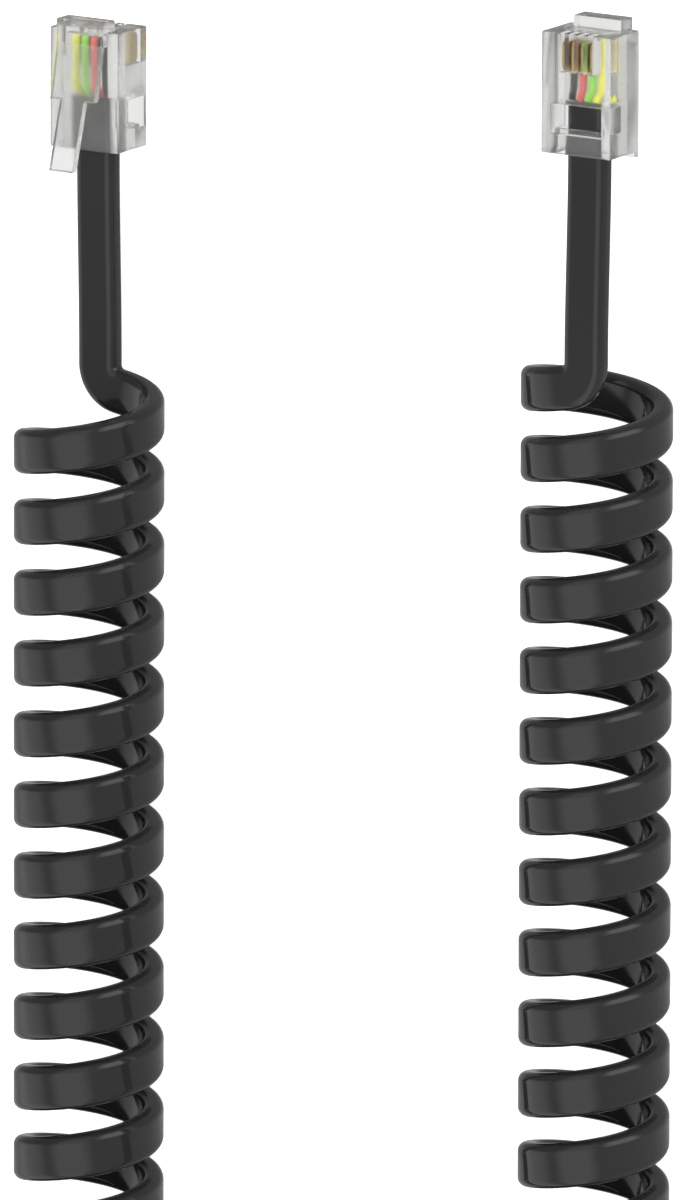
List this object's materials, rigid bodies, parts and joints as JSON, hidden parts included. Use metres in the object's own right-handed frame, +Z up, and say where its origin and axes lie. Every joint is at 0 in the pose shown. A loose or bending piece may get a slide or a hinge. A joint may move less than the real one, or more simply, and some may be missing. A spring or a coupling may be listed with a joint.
{
  "type": "coiled telephone handset cord",
  "caption": "Black curly handset cord lying as a long U, with short straight tails and a clear modular plug with gold contacts and a latch on each end.",
  "frame": {"origin": "middle of the cord's bounding box, at the floor it lies on", "axes": "+Z up from the floor; +Y along the two coiled legs towards both plugs; +X from the left leg to the right leg"},
  "size_m": [0.0706, 0.198, 0.0143],
  "materials": {
    "cord_black": "smooth glossy flexible PVC",
    "clear_plastic": "clear polished polycarbonate",
    "gold_contact": "gold plated, polished",
    "wire_yellow": "smooth insulation",
    "wire_green": "smooth insulation",
    "wire_red": "smooth insulation",
    "wire_black": "smooth insulation"
  },
  "bodies": {
    "root": {"coiled_cord": "cord_black", "left_tail": "cord_black", "right_tail": "cord_black", "left_plug_housing": "clear_plastic", "left_plug_contact_1": "gold_contact", "left_plug_contact_2": "gold_contact", "left_plug_contact_3": "gold_contact", "left_plug_contact_4": "gold_contact", "left_plug_wire_yellow": "wire_yellow", "left_plug_wire_green": "wire_green", "left_plug_wire_red": "wire_red", "left_plug_wire_black": "wire_black", "right_plug_housing": "clear_plastic", "right_plug_contact_1": "gold_contact", "right_plug_contact_2": "gold_contact", "right_plug_contact_3": "gold_contact", "right_plug_contact_4": "gold_contact", "right_plug_wire_yellow": "wire_yellow", "right_plug_wire_green": "wire_green", "right_plug_wire_red": "wire_red", "right_plug_wire_black": "wire_black"}
  },
  "joints": []
}
